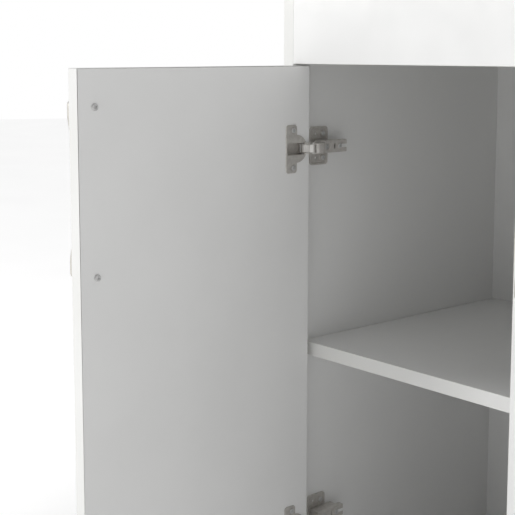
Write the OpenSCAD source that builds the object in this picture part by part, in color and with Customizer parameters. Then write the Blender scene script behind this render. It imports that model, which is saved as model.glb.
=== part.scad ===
// Bathroom vanity cabinet: two inset doors on concealed hinges, one shelf, ceramic basin top.
// Frame: origin on the floor under the middle of the carcass, +Z up, the front faces -Y.
// At rest the left door stands open at a right angle and the right door is closed.

/* [Carcass] */
// Outside width of the carcass
body_w = 740; // [500:5:1000]
// Depth of the side panels
body_d = 440; // [340:5:560]
// Thickness of the side, bottom, shelf, rail and door boards
board_t = 18; // [17:0.5:20]
// Height of the door opening
opening_h = 722; // [560:1:860]
// Height of the fixed front rail over the doors
rail_h = 90; // [80:1:140]
// Height that the feet lift the carcass
foot_h = 15; // [13:1:30]

/* [Back and shelf] */
// Thickness of the back panel
back_t = 4; // [3:0.5:8]
// Distance from the back panel to the rear edge of the sides
back_inset = 10; // [6:1:25]
// Depth of the groove that holds the back panel
groove_depth = 8; // [4:0.5:10]
// Height of the shelf's top over the bottom panel
shelf_top = 354; // [200:1:480]
// Gap between the closed doors and the shelf
shelf_door_gap = 2; // [2:1:40]
// Gap at each end of the shelf
shelf_gap = 0.5; // [0.3:0.1:2]

/* [Doors] */
// Gap between a door and the side panel
side_gap = 3; // [3:0.1:4]
// Gap between the two doors
centre_gap = 2; // [2:0.1:5]
// Gap over and under a door
end_gap = 2; // [1:0.1:4]

/* [Handles] */
// Distance between the two handle screws
handle_pitch = 192; // [96:1:320]
// Distance from the left door's free edge to its handle screws
left_handle_edge = 22; // [16:1:50]
// Distance from the right door's free edge to its handle screws
right_handle_edge = 30; // [16:1:50]
// Distance from the door's top edge to the upper screw
handle_drop = 43; // [30:1:120]
// Distance from the door to the front of the grip
handle_reach = 31; // [26:1:45]
// Thickness of the grip
grip_t = 8; // [6:0.5:12]
// Width of the grip in the middle
grip_mid_w = 7; // [6:0.5:12]
// Width of the grip at its flared ends
grip_end_w = 13; // [12:0.5:20]
// Length of each flared end
flare_len = 44; // [30:1:60]

/* [Hinges] */
// Distance from the rail to the upper hinge, and from the bottom panel to the lower one
hinge_inset = 108; // [70:1:200]
// Diameter of the hinge cup
cup_d = 34.8; // [34:0.1:35]
// Clearance round the cup in its bore
cup_clearance = 0.1; // [0.05:0.05:0.4]
// Diameter of the hinge pins
hinge_pin_d = 2; // [1.6:0.1:2.2]
// Radial clearance of a lever on its pin
pin_clearance = 0.05; // [0.02:0.01:0.1]

/* [Basin top] */
// Thickness of the top's rim
rim_t = 20; // [14:1:40]
// Overhang of the top at each side
overhang_side = 10; // [0:1:30]
// Overhang of the top at the front
overhang_front = 16; // [0:1:40]
// Free width between the bowl and each side panel
bowl_side_gap = 107; // [20:1:160]
// Gap between the bowl and the front rail
bowl_front_gap = 27; // [10:1:60]
// Gap between the bowl and the tap hole
bowl_tap_gap = 32.5; // [15:0.5:60]
// Height of the bowl's underside over the door opening
bowl_lift = 5; // [0:1:20]
// Wall thickness of the bowl
bowl_wall = 10; // [8:0.5:12]
// Diameter of the tap hole
tap_hole_d = 35; // [32:0.5:38]
// Diameter of the waste hole
waste_hole_d = 46; // [42:0.5:48]

/* [Fixings] */
// Distance between the two wall screw holes
wall_hole_pitch = 500; // [200:5:600]
// Diameter of the wall screw holes
wall_hole_d = 8; // [5:0.5:10]
// Radial clearance of a fixing in its hole
fix_clearance = 0.05; // [0.02:0.01:0.2]
// Diameter of the foot pads
foot_d = 18; // [16:1:18]
// Diameter of the foot studs
stud_d = 8; // [6:0.5:8]

/* [Hidden] */
$fn = 64;
eps = 0.01;

white = "#f2f2f0";
steel = "#9c9893";

// Carcass levels and faces
front_y = -body_d / 2;
inner_w = body_w - 2 * board_t;
floor_z = foot_h + board_t;
open_top = floor_z + opening_h;
body_top = open_top + rail_h;
back_y = body_d / 2 - back_inset - back_t;
shelf_z = floor_z + shelf_top - board_t;
shelf_setback = board_t + shelf_door_gap;

// Doors, in a frame with x from the side panel's inner face and y from the front
door_w = (inner_w - 2 * side_gap - centre_gap) / 2;
door_h = opening_h - 2 * end_gap;
door_z = floor_z + end_gap;
left_handle_x = side_gap + door_w - left_handle_edge;
right_handle_x = side_gap + door_w - right_handle_edge;
handle_z = door_z + door_h - handle_drop - handle_pitch / 2;
post_d = 10;
post_len = handle_reach - grip_t;
grip_len = handle_pitch + grip_end_w + 1;
screw_d = 4;
screw_bore_depth = 12;

// Hinge levels: the upper hinge, then the lower
upper_z = open_top - hinge_inset;
lower_z = floor_z + hinge_inset;

// Hinge axes, in the door's frame. The door turns about swing_axis. A thicker door moves the hinge in.
hinge_shift = [side_gap - 3 + board_t - 18, board_t - 18];
swing_axis = hinge_shift + [7.6, 5.1];
outer_pivot = swing_axis + [22.4, 3.8];
inner_pivot = swing_axis + [19.1, 7.9];
outer_catch = swing_axis + [4.2, 5.9];
inner_catch = swing_axis + [3.9, 9.4];
open_turn = -90;
outer_turn = 32.45;
inner_turn = 56.21;

// Hinge layers across the height of the hinge, as half widths
lever_half = 5;
nose_in = 5.2;
nose_out = 6.2;
bar_in = 6.4;
bar_out = 7.4;
cavity_half = 7.8;
mouth_x = hinge_shift[0] + 9;

// Cup
cup_x = hinge_shift[0] + 25.5;
cup_depth = 12.5;
cup_wall = 0.8;
flange_t = 1.2;
flange_d = 36;
flange_x = [cup_x - 0.5, cup_x + 18.5];
flange_half = 31;
cup_screw_x = cup_x + 6;
cup_screw_z = 24;
small_screw_d = 2.9;
small_head_d = 7;

// Arm and mounting plate
arm_half = 8.35;
sheet = 1.2;
arm_top = hinge_shift[0] + 21;
arm_start = board_t + 13;
arm_end = board_t + 61;
adjust_y = board_t + 24;
slot_y = board_t + 38;
clamp_y = board_t + 47;
plate_y = [board_t + 11, board_t + 43];
plate_half = 25.5;
plate_t = 2.4;
spine_top = hinge_shift[0] + 12.2;
spine_half = 6.6;
spine_end = board_t + 56;
plate_screw_y = board_t + 34;
plate_guide_y = board_t + 22;
plate_screw_z = 16;
euro_d = 4;
euro_len = 12;

// Knock-down fixings: places along y on the bottom panel, and levels on the rails
dowel_d = 8;
dowel_len = 30;
dowel_in_side = 10;
bolt_d = 7;
bolt_thread_d = 5;
bolt_thread_len = 11;
cam_d = 15;
cam_h = 13;
cam_from_end = 34;
floor_dowels = [-0.38 * body_d, 0.3 * body_d];
floor_cams = [-0.3 * body_d, 0.22 * body_d];
rail_dowels = [open_top + 18, body_top - 18];
rail_cam = open_top + rail_h / 2;
front_rail_y = front_y + board_t / 2;
rear_rail_y = back_y - board_t / 2;
wall_hole_z = body_top - 25;

// Feet
foot_x = body_w / 2 - board_t / 2;
foot_y = body_d / 2 - 30;
foot_places = [[-foot_x, -foot_y], [foot_x, -foot_y], [-foot_x, foot_y], [foot_x, foot_y], [0, 0]];
stud_in = min(14, board_t - 4);
pad_h = 5;

// Shelf pins
pin_d = 5;
pin_in = 8;
pin_out = 8;
pin_y = [front_y + shelf_setback + 40, back_y - 60];

// Basin
bowl_corner = 60;
tap_y = back_y - board_t - 23;
bowl_from = front_y + board_t + bowl_front_gap + bowl_wall;
bowl_to = tap_y - tap_hole_d / 2 - bowl_tap_gap - bowl_wall;
bowl_w = inner_w - 2 * bowl_side_gap - 2 * bowl_wall;
bowl_l = bowl_to - bowl_from;
bowl_y = (bowl_from + bowl_to) / 2;
bowl_depth = rail_h + rim_t - bowl_wall - bowl_lift;

module board(size) { translate([-size[0] / 2, 0, 0]) cube(size); }

// Solid rod between two z levels, two y levels or two x levels
module rod_z(d, from, to) { translate([0, 0, from]) cylinder(d = d, h = to - from); }
module rod_y(d, from, to) { translate([0, from, 0]) rotate([-90, 0, 0]) cylinder(d = d, h = to - from); }
module rod_x(d, from, to) { translate([from, 0, 0]) rotate([0, 90, 0]) cylinder(d = d, h = to - from); }

// Rectangle with round corners
module round_rect(w, l, r) {
    square([w - 2 * r, l], center = true);
    square([w, l - 2 * r], center = true);
    for (x = [-1, 1], y = [-1, 1]) translate([x * (w / 2 - r), y * (l / 2 - r)]) circle(r = r);
}

// Strip of sheet along a row of points: its one edge, then the other edge back
function edge(points, offset) = [
    for (i = [0 : len(points) - 1])
        let (a = points[max(i - 1, 0)], b = points[min(i + 1, len(points) - 1)], run = (b - a) / norm(b - a))
            points[i] + offset * [-run[1], run[0]]
];
function backwards(points) = [for (i = [len(points) - 1 : -1 : 0]) points[i]];
module strip(points, w) { polygon(concat(edge(points, w / 2), backwards(edge(points, -w / 2)))); }

// Two flat plates, one on each side of the hinge's middle
module twin(inside, outside) {
    for (s = [0, 1]) mirror([0, 0, s]) translate([0, 0, inside]) linear_extrude(outside - inside) children();
}

// Places: the left half's frame, and its mirror image on the right
module left_half() { translate([-inner_w / 2, front_y, 0]) children(); }
module right_half() { mirror([1, 0, 0]) left_half() children(); }

// Turn about a vertical axis
module turn_about(axis, angle) { translate(axis) rotate(angle) translate(-axis) children(); }
module left_door_place() { left_half() turn_about(swing_axis, open_turn) children(); }

// Fixings that join a board's two ends to the sides
module dowel_row(ys, zs, grow = 0) {
    for (s = [-1, 1], y = ys, z = zs)
        scale([s, 1, 1]) translate([0, y, z])
            rod_x(dowel_d + 2 * grow, inner_w / 2 - dowel_len + dowel_in_side - grow,
                inner_w / 2 + dowel_in_side + grow);
}
module bolt_row(ys, zs, grow = 0) {
    for (s = [-1, 1], y = ys, z = zs)
        scale([s, 1, 1]) translate([0, y, z]) {
            rod_x(bolt_d + 2 * grow, inner_w / 2 - cam_from_end + cam_d / 2, inner_w / 2);
            rod_x(bolt_thread_d + 2 * grow, inner_w / 2 - eps, inner_w / 2 + bolt_thread_len + grow);
        }
}
module all_dowels(grow = 0) {
    dowel_row(floor_dowels, [foot_h + board_t / 2], grow);
    dowel_row([front_rail_y, rear_rail_y], rail_dowels, grow);
}
module all_bolts(grow = 0) {
    bolt_row(floor_cams, [foot_h + board_t / 2], grow);
    bolt_row([front_rail_y, rear_rail_y], [rail_cam], grow);
}
module all_cams(grow = 0) {
    for (s = [-1, 1]) {
        for (y = floor_cams)
            translate([s * (inner_w / 2 - cam_from_end), y, 0])
                rod_z(cam_d + 2 * grow, foot_h - grow, foot_h + cam_h + grow);
        translate([s * (inner_w / 2 - cam_from_end), 0, rail_cam]) {
            rod_y(cam_d + 2 * grow, front_y + board_t - cam_h - grow, front_y + board_t + grow);
            rod_y(cam_d + 2 * grow, rear_rail_y - board_t / 2 - grow, rear_rail_y - board_t / 2 + cam_h + grow);
        }
    }
}
module fixing_bores() {
    all_dowels(fix_clearance);
    all_bolts(fix_clearance);
}
module stud_bores() {
    for (p = foot_places)
        translate([p[0], p[1], 0]) rod_z(stud_d + 2 * fix_clearance, 0, foot_h + stud_in + fix_clearance);
}
module pin_places() {
    for (s = [-1, 1], y = pin_y) scale([s, 1, 1]) translate([inner_w / 2, y, shelf_z - pin_d / 2]) children();
}

// Side panel on the left, in the left half's frame
module side_panel() {
    color(white) translate([-board_t, 0, foot_h]) cube([board_t, body_d, body_top - foot_h]);
}
module side_cuts() {
    translate([-inner_w / 2 - groove_depth, back_y - fix_clearance, foot_h - eps])
        cube([inner_w + 2 * groove_depth, back_t + 2 * fix_clearance, body_top]);
    fixing_bores();
    stud_bores();
    pin_places() rod_x(pin_d + 2 * fix_clearance, -1, pin_in + fix_clearance);
    for (half = [0, 1], z = [upper_z, lower_z], d = [-1, 1])
        mirror([half, 0, 0]) left_half() translate([0, plate_screw_y, z + d * plate_screw_z])
            rod_x(euro_d + 2 * fix_clearance, -euro_len - fix_clearance, 1);
}
module left_side() { color(white) difference() { left_half() side_panel(); side_cuts(); } }
module right_side() { color(white) difference() { right_half() side_panel(); side_cuts(); } }

module bottom_panel() {
    color(white) difference() {
        translate([0, front_y, foot_h]) board([inner_w, back_y - front_y, board_t]);
        fixing_bores();
        all_cams(fix_clearance);
        stud_bores();
    }
}

module back_panel() {
    color(white) difference() {
        translate([0, back_y, foot_h]) board([inner_w + 2 * (groove_depth - fix_clearance), back_t, body_top - foot_h]);
        for (s = [-1, 1])
            translate([s * wall_hole_pitch / 2, 0, wall_hole_z])
                rod_y(wall_hole_d + 4, back_y - 1, back_y + back_t + 1);
    }
}

module front_rail() {
    color(white) difference() {
        translate([0, front_y, open_top]) board([inner_w, board_t, rail_h]);
        fixing_bores();
        all_cams(fix_clearance);
    }
}

module rear_rail() {
    color(white) difference() {
        translate([0, back_y - board_t, open_top]) board([inner_w, board_t, rail_h]);
        fixing_bores();
        all_cams(fix_clearance);
        for (s = [-1, 1])
            translate([s * wall_hole_pitch / 2, 0, wall_hole_z]) rod_y(wall_hole_d, back_y - board_t - 1, back_y + 1);
    }
}

module shelf() {
    color(white) translate([0, front_y + shelf_setback, shelf_z])
        board([inner_w - 2 * shelf_gap, back_y - front_y - shelf_setback - shelf_gap, board_t]);
}
module shelf_pins() { color(steel) pin_places() rod_x(pin_d, -pin_out, pin_in); }
module dowels() { color("burlywood") all_dowels(); }
module cam_bolts() { color(steel) all_bolts(); }
module cam_discs() { color(steel) all_cams(); }

module feet() {
    color("dimgray") for (p = foot_places) translate([p[0], p[1], 0]) {
        difference() {
            union() {
                rod_z(foot_d, 0, pad_h);
                rod_z(stud_d + 6, 0, pad_h + 4);
            }
            rod_z(stud_d + 2 * fix_clearance, pad_h - 1, pad_h + 5);
        }
    }
}
module foot_studs() {
    color(steel) for (p = foot_places) translate([p[0], p[1], 0]) rod_z(stud_d, pad_h - 1, foot_h + stud_in);
}

module basin_top() {
    top_z = body_top + rim_t;
    color("white") difference() {
        union() {
            translate([0, front_y - overhang_front, body_top])
                board([body_w + 2 * overhang_side, body_d + overhang_front, rim_t]);
            translate([0, bowl_y, top_z - bowl_depth - bowl_wall])
                linear_extrude(bowl_depth + bowl_wall - rim_t + eps)
                    round_rect(bowl_w + 2 * bowl_wall, bowl_l + 2 * bowl_wall, bowl_corner + bowl_wall);
        }
        translate([0, bowl_y, top_z - bowl_depth])
            linear_extrude(bowl_depth + 1) round_rect(bowl_w, bowl_l, bowl_corner);
        translate([0, bowl_y, 0]) rod_z(waste_hole_d, top_z - bowl_depth - bowl_wall - 1, top_z);
        translate([0, tap_y, 0]) rod_z(tap_hole_d, body_top - 1, top_z + 1);
    }
}

// One closed door in the left half's frame
module door_board(handle_x) {
    color(white) difference() {
        translate([side_gap, 0, door_z]) cube([door_w, board_t, door_h]);
        for (z = [upper_z, lower_z]) translate([0, 0, z]) {
            translate([cup_x, 0, 0])
                rod_y(cup_d + 2 * cup_clearance, board_t - cup_depth - cup_clearance, board_t + 1);
            for (d = [-1, 1])
                translate([cup_screw_x, 0, d * cup_screw_z])
                    rod_y(small_screw_d + 2 * fix_clearance, board_t - 11, board_t + 1);
        }
        for (d = [-1, 1])
            translate([handle_x, 0, handle_z + d * handle_pitch / 2]) rod_y(screw_d + 1, -1, board_t + 1);
    }
}

// Half width of the grip at height z from its middle
function grip_half(z) =
    let (start = grip_len / 2 - flare_len, t = max(0, min(1, (abs(z) - start) / (flare_len * 0.6))))
    (grip_mid_w + (grip_end_w - grip_mid_w) * (1 - cos(180 * t)) / 2) / 2;
module grip_outline() {
    reach = grip_len / 2 - grip_end_w / 2;
    steps = 24;
    polygon([for (s = [1, -1], i = [0 : steps]) let (z = s * reach * (2 * i / steps - 1)) [s * grip_half(z), z]]);
    for (s = [-1, 1]) translate([0, s * reach]) circle(d = grip_end_w);
}
module handle(handle_x) {
    color("silver") translate([handle_x, 0, handle_z]) difference() {
        union() {
            translate([0, -post_len, 0]) rotate([90, 0, 0]) linear_extrude(grip_t) grip_outline();
            for (d = [-1, 1]) translate([0, 0, d * handle_pitch / 2]) rod_y(post_d, -post_len - eps, 0);
        }
        for (d = [-1, 1])
            translate([0, 0, d * handle_pitch / 2]) rod_y(screw_d + 2 * fix_clearance, -screw_bore_depth, 1);
    }
}
module handle_screws(handle_x) {
    color(steel) for (d = [-1, 1]) translate([handle_x, 0, handle_z + d * handle_pitch / 2]) {
        rod_y(screw_d, -screw_bore_depth + 1, board_t + eps);
        difference() {
            rod_y(8, board_t, board_t + 2.4);
            for (a = [0, 90]) translate([0, board_t + 2.4, 0]) rotate([0, a, 0]) cube([4.4, 2.4, 0.9], center = true);
        }
    }
}
module left_door() { left_door_place() door_board(left_handle_x); }
module right_door() { right_half() door_board(right_handle_x); }
module left_handle() { left_door_place() handle(left_handle_x); }
module right_handle() { right_half() handle(right_handle_x); }
module left_handle_screws() { left_door_place() handle_screws(left_handle_x); }
module right_handle_screws() { right_half() handle_screws(right_handle_x); }

// Hinge cup with its flange, closed, at the hinge's middle
module cup() {
    ear_x = outer_catch[0] + 2;
    cup_floor = board_t - cup_depth + cup_wall;
    color(steel) {
        difference() {
            union() {
                translate([cup_x, 0, 0]) rod_y(cup_d, board_t - cup_depth, board_t + eps);
                translate([cup_x, 0, 0]) rod_y(flange_d, board_t, board_t + flange_t);
                translate([(flange_x[0] + flange_x[1]) / 2, board_t + flange_t, 0]) rotate([90, 0, 0])
                    linear_extrude(flange_t) round_rect(flange_x[1] - flange_x[0], 2 * flange_half, 4);
            }
            intersection() {
                translate([cup_x, 0, 0]) rod_y(cup_d - 2 * cup_wall, cup_floor, board_t + flange_t + 1);
                cube([200, 200, 2 * cavity_half], center = true);
            }
            translate([mouth_x, board_t, -cavity_half]) cube([cup_x - mouth_x, 2 * flange_t, 2 * cavity_half]);
            for (d = [-1, 1])
                translate([cup_screw_x, 0, d * cup_screw_z]) rod_y(small_screw_d + 1, board_t - 1, board_t + 3);
        }
        difference() {
            intersection() {
                twin(nose_in, nose_out)
                    translate([0, cup_floor - eps]) square([ear_x, outer_catch[1] + 1.6 - cup_floor]);
                translate([cup_x, 0, 0]) rod_y(cup_d - cup_wall, 0, board_t);
            }
            translate(outer_catch) cylinder(d = hinge_pin_d - 0.2 + 2 * pin_clearance, h = 20, center = true);
        }
    }
}
module cup_pins() {
    color(steel) for (z = [upper_z, lower_z]) translate([0, 0, z]) {
        translate(outer_catch) cylinder(d = hinge_pin_d - 0.2, h = 2 * nose_out, center = true);
        for (s = [0, 1])
            mirror([0, 0, s]) translate(inner_catch) rod_z(hinge_pin_d - 0.7, nose_out + 0.1, cavity_half);
    }
}
module cup_screws() {
    color(steel) for (z = [upper_z, lower_z], d = [-1, 1]) translate([cup_screw_x, 0, z + d * cup_screw_z]) {
        rod_y(small_screw_d, board_t - 10, board_t + flange_t + eps);
        rod_y(small_head_d, board_t + flange_t, board_t + flange_t + 1.4);
    }
}

// Levers in the closed position, at the hinge's middle
module outer_lever() {
    row = [[20.8, 3.2], [18.4, 2.3], [11.7, 2.4], [8.9, 2.7], [7, 3.5]];
    color(steel) difference() {
        union() {
            translate([0, 0, -lever_half]) linear_extrude(2 * lever_half)
                strip([for (p = row) swing_axis + p], sheet);
            translate(outer_pivot) rod_z(3.8, -lever_half, lever_half);
        }
        translate(outer_pivot) cylinder(d = hinge_pin_d + 2 * pin_clearance, h = 3 * lever_half, center = true);
    }
}
module inner_lever() {
    row = [[17.5, 7.04], [13.9, 5.1], [8.9, 4.5], [6.1, 5.8]];
    color(steel) difference() {
        twin(bar_in, bar_out) {
            strip([for (p = row) swing_axis + p], 2);
            translate(inner_pivot) circle(d = 4.4);
        }
        translate(inner_pivot) cylinder(d = hinge_pin_d + 2 * pin_clearance, h = 4 * lever_half, center = true);
    }
}

// Cranked arm and the plate that carries it, fixed to the side panel
module arm() {
    cheek = [[25.2, 11.2], [28.8, 7.2], [31.2, 7.2], [34.5, 9.5], [37, 14], [37, 21], [33, 27.5], [26, 33],
        [21, 35], [13, 35], [13, 31], [20, 29.5], [25, 25], [26.2, 20], [24.6, 14.2]];
    bend = [[34.1, 10.2], [36.4, 14.2], [36.4, 20.8], [32.6, 27], [25.8, 32.3], [20.4, 34.4]];
    color(steel) difference() {
        union() {
            twin(nose_in, nose_out) {
                translate(hinge_shift) polygon(cheek);
                translate(outer_pivot) circle(d = 4.2);
                translate(inner_pivot) circle(d = 4.6);
            }
            translate([0, 0, -nose_out]) linear_extrude(2 * nose_out) translate(hinge_shift) strip(bend, sheet);
            translate([arm_top - sheet, arm_start, -arm_half]) cube([sheet, arm_end - arm_start, 2 * arm_half]);
            translate([8, arm_start, -arm_half]) cube([arm_top - 8, sheet, 2 * arm_half]);
            for (s = [0, 1]) mirror([0, 0, s]) translate([8, arm_start, arm_half - sheet])
                cube([arm_top - 8, arm_end - arm_start, sheet]);
        }
        for (p = [outer_pivot, inner_pivot])
            translate(p) cylinder(d = hinge_pin_d + 0.04, h = 4 * lever_half, center = true);
        translate([0, adjust_y, 0]) rod_x(7.4, arm_top - 3, arm_top + 1);
        translate([arm_top - 1, slot_y, 0]) cube([5, 1.8, 7], center = true);
        translate([0, clamp_y, 0]) rod_x(4.6, arm_top - 3, arm_top + 1);
        translate([arm_top - 3, clamp_y + 4, -2.3]) cube([5, arm_end, 4.6]);
    }
}
module plate() {
    color(steel) difference() {
        union() {
            translate([0, (plate_y[0] + plate_y[1]) / 2, 0]) rotate([90, 0, 90])
                linear_extrude(plate_t) round_rect(plate_y[1] - plate_y[0], 2 * plate_half, 4);
            translate([0, plate_y[0] + 5, -spine_half]) cube([spine_top, spine_end - plate_y[0] - 5, 2 * spine_half]);
        }
        for (d = [-1, 1]) {
            translate([0, plate_screw_y, d * plate_screw_z]) rod_x(euro_d + 0.6, -1, plate_t + 1);
            translate([0, plate_guide_y, d * plate_screw_z]) rod_x(3.2, -1, plate_t + 1);
        }
        for (y = [adjust_y, clamp_y])
            translate([0, y, 0]) rod_x(4 + 2 * fix_clearance, spine_top - 8, spine_top + 1);
    }
}

// Fixed pins, screws of the arm and screws of the plate, for one hinge
module arm_pins() {
    color(steel) {
        translate(inner_pivot) cylinder(d = hinge_pin_d, h = 2 * (bar_out + 0.3), center = true);
        translate(outer_pivot) cylinder(d = hinge_pin_d, h = 2 * nose_out + 1.4, center = true);
    }
}
module arm_screw_pair() {
    color(steel) {
        translate([0, adjust_y, 0]) {
            rod_x(4, spine_top - 7, arm_top - 2);
            rod_x(7, arm_top - 2 - eps, arm_top + 0.3);
        }
        translate([0, clamp_y, 0]) {
            rod_x(4, spine_top - 7, arm_top);
            rod_x(6.6, arm_top, arm_top + 1.8);
        }
    }
}
module plate_screw_pair() {
    color(steel) for (d = [-1, 1]) translate([0, plate_screw_y, d * plate_screw_z]) {
        rod_x(euro_d, -euro_len, plate_t);
        rod_x(small_head_d, plate_t, plate_t + 1.8);
    }
}

// Placing hinge pieces
module at_all_hinges() {
    for (half = [0, 1], z = [upper_z, lower_z]) mirror([half, 0, 0]) left_half() translate([0, 0, z]) children();
}
module left_fixed(z) { left_half() translate([0, 0, z]) children(); }
module right_fixed(z) { right_half() translate([0, 0, z]) children(); }
module left_outer(z) { left_fixed(z) turn_about(outer_pivot, outer_turn) outer_lever(); }
module left_inner(z) { left_fixed(z) turn_about(inner_pivot, inner_turn) inner_lever(); }
module left_cup(z) { left_door_place() translate([0, 0, z]) cup(); }

left_side();
right_side();
bottom_panel();
back_panel();
front_rail();
rear_rail();
shelf();
shelf_pins();
dowels();
cam_bolts();
cam_discs();
feet();
foot_studs();
basin_top();
left_door();
right_door();
left_handle();
right_handle();
left_handle_screws();
right_handle_screws();
left_cup(upper_z);  // left_upper_cup
left_cup(lower_z);  // left_lower_cup
right_fixed(upper_z) cup();  // right_upper_cup
right_fixed(lower_z) cup();  // right_lower_cup
left_outer(upper_z);  // left_upper_outer_lever
left_outer(lower_z);  // left_lower_outer_lever
right_fixed(upper_z) outer_lever();  // right_upper_outer_lever
right_fixed(lower_z) outer_lever();  // right_lower_outer_lever
left_inner(upper_z);  // left_upper_inner_lever
left_inner(lower_z);  // left_lower_inner_lever
right_fixed(upper_z) inner_lever();  // right_upper_inner_lever
right_fixed(lower_z) inner_lever();  // right_lower_inner_lever
left_fixed(upper_z) arm();  // left_upper_arm
left_fixed(lower_z) arm();  // left_lower_arm
right_fixed(upper_z) arm();  // right_upper_arm
right_fixed(lower_z) arm();  // right_lower_arm
left_fixed(upper_z) plate();  // left_upper_plate
left_fixed(lower_z) plate();  // left_lower_plate
right_fixed(upper_z) plate();  // right_upper_plate
right_fixed(lower_z) plate();  // right_lower_plate
at_all_hinges() arm_pins();  // hinge_pins
at_all_hinges() arm_screw_pair();  // arm_screws
at_all_hinges() plate_screw_pair();  // plate_screws
left_door_place() cup_screws();  // left_cup_screws
right_half() cup_screws();  // right_cup_screws
left_door_place() cup_pins();  // left_cup_pins
right_half() cup_pins();  // right_cup_pins
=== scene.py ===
import math
import bpy
from mathutils import Matrix, Vector


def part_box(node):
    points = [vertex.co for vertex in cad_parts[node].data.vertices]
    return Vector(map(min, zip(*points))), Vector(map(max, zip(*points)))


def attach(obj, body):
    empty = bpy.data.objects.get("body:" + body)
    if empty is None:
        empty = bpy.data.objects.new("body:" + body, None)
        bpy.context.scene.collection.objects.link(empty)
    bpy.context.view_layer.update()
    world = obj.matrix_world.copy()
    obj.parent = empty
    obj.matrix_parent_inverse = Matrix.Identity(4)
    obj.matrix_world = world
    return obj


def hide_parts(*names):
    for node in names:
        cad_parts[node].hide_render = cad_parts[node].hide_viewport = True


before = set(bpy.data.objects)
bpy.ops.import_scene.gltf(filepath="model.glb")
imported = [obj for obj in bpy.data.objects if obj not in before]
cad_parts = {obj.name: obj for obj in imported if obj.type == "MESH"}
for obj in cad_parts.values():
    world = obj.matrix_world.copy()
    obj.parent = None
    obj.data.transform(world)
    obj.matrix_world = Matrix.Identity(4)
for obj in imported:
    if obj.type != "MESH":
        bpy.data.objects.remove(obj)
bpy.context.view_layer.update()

mm = 0.001
weld = 0.001 * mm
boardThick = 18


# picking and starting pieces

def pickNothing():
    if bpy.context.object and bpy.context.object.mode != "OBJECT":
        bpy.ops.object.mode_set(mode="OBJECT")
    bpy.ops.object.select_all(action="DESELECT")


def pick(*pieces):
    pickNothing()
    for piece in pieces:
        piece.select_set(True)
    bpy.context.view_layer.objects.active = pieces[0]


def settle(name):
    # the place goes into the mesh, so the object sits at the origin
    bpy.ops.object.transform_apply(location=True, rotation=True, scale=True)
    piece = bpy.context.object
    piece.name = piece.data.name = name
    return piece


def addBlock(name, low, high):
    pickNothing()
    low, high = Vector(low) * mm, Vector(high) * mm
    bpy.ops.mesh.primitive_cube_add(size=1, location=(low + high) / 2, scale=high - low)
    return settle(name)


def addRod(name, start, end, radius, tip=None, sides=48):
    pickNothing()
    start, end = Vector(start) * mm, Vector(end) * mm
    turn = (end - start).to_track_quat("Z", "Y").to_euler()
    tip = radius if tip is None else tip
    bpy.ops.mesh.primitive_cone_add(vertices=sides, radius1=radius * mm, radius2=tip * mm,
                                    depth=(end - start).length, location=(start + end) / 2, rotation=turn)
    return settle(name)


# an outline is walked point by point and closed; the third number of a point is its height
def addOutline(name, points):
    pickNothing()
    bpy.ops.mesh.primitive_plane_add(size=mm)
    bpy.ops.object.mode_set(mode="EDIT")
    bpy.ops.mesh.select_mode(type="VERT")
    bpy.ops.mesh.select_all(action="SELECT")
    bpy.ops.mesh.merge(type="CENTER")
    walk = [Vector((p[0], p[1], p[2] if len(p) > 2 else 0)) * mm for p in points]
    bpy.ops.transform.translate(value=walk[0])
    for here, there in zip(walk, walk[1:] + walk[:1]):
        bpy.ops.mesh.extrude_region_move(TRANSFORM_OT_translate={"value": there - here})
    bpy.ops.mesh.select_all(action="SELECT")
    bpy.ops.mesh.remove_doubles(threshold=weld)
    bpy.ops.mesh.edge_face_add()
    bpy.ops.object.mode_set(mode="OBJECT")
    return settle(name)


# axes "xyz" keeps the outline flat and pushes it up; "yzx" lays it in the YZ plane and pushes it along X
def addPlate(name, points, low, high, axes="xyz"):
    piece = addOutline(name, [(p[0], p[1], low) for p in points])
    bpy.ops.object.mode_set(mode="EDIT")
    bpy.ops.mesh.select_all(action="SELECT")
    bpy.ops.mesh.extrude_region_move(TRANSFORM_OT_translate={"value": (0, 0, (high - low) * mm)})
    bpy.ops.object.mode_set(mode="OBJECT")
    rows = {axis: [0.0] * 4 for axis in "xyz"}
    for column, axis in enumerate(axes):
        rows[axis][column] = 1.0
    piece.data.transform(Matrix([rows["x"], rows["y"], rows["z"], [0, 0, 0, 1]]))
    return faceOut(piece)


def faceOut(piece):
    pick(piece)
    bpy.ops.object.mode_set(mode="EDIT")
    bpy.ops.mesh.select_all(action="SELECT")
    bpy.ops.mesh.remove_doubles(threshold=weld)
    bpy.ops.mesh.normals_make_consistent(inside=False)
    bpy.ops.object.mode_set(mode="OBJECT")
    return piece


def pickFaces(piece, test):
    # goes into edit mode with only the faces that pass the test picked
    pick(piece)
    bpy.ops.object.mode_set(mode="EDIT")
    bpy.ops.mesh.select_mode(type="FACE")
    bpy.ops.mesh.select_all(action="DESELECT")
    bpy.ops.object.mode_set(mode="OBJECT")
    for face in piece.data.polygons:
        face.select = test(face)
    bpy.ops.object.mode_set(mode="EDIT")


# finishing pieces

def applied(piece, kind, **settings):
    modifier = piece.modifiers.new(kind.lower(), kind)
    for key, value in settings.items():
        setattr(modifier, key, value)
    pick(piece)
    bpy.ops.object.modifier_apply(modifier=modifier.name)
    return piece


def cut(piece, *tools):
    for tool in tools:
        applied(piece, "BOOLEAN", operation="DIFFERENCE", object=tool, solver="EXACT")
        bpy.data.objects.remove(tool)
    return piece


def fuse(piece, *others):
    for other in others:
        applied(piece, "BOOLEAN", operation="UNION", object=other, solver="EXACT")
        bpy.data.objects.remove(other)
    return piece


def soften(piece, width, segments=3, angle=35):
    applied(piece, "BEVEL", width=width * mm, segments=segments, limit_method="ANGLE",
            angle_limit=math.radians(angle), use_clamp_overlap=True, miter_outer="MITER_ARC")
    return smooth(piece, angle)


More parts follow.
